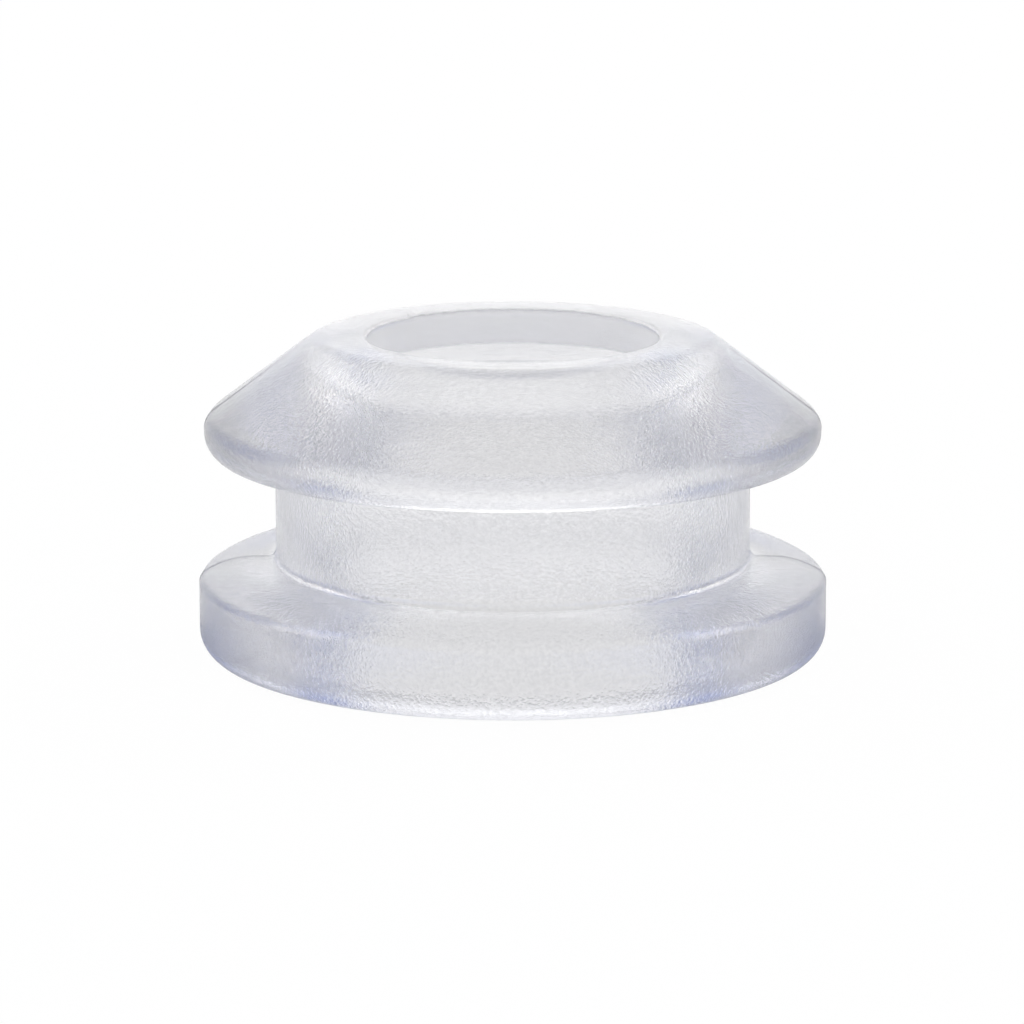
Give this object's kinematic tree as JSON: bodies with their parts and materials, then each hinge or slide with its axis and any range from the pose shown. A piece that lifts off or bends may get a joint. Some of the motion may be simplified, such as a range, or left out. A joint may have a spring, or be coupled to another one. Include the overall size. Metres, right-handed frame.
{
  "type": "top hat grommet",
  "caption": "Clear soft hollow grommet for a round panel hole: a flange, a groove for the panel's edge and a tapered head whose lipped opening closes round a cable.",
  "frame": {"origin": "centre of the flange's flat underside, on the bore's axis", "axes": "+Z along the bore, from the flange to the tapered head; the picture looks along +Y with +X to the right"},
  "size_m": [0.016, 0.016, 0.0082],
  "materials": {
    "silicone": "fine matt texture, translucent"
  },
  "bodies": {
    "root": {"grommet": "silicone"}
  },
  "joints": []
}
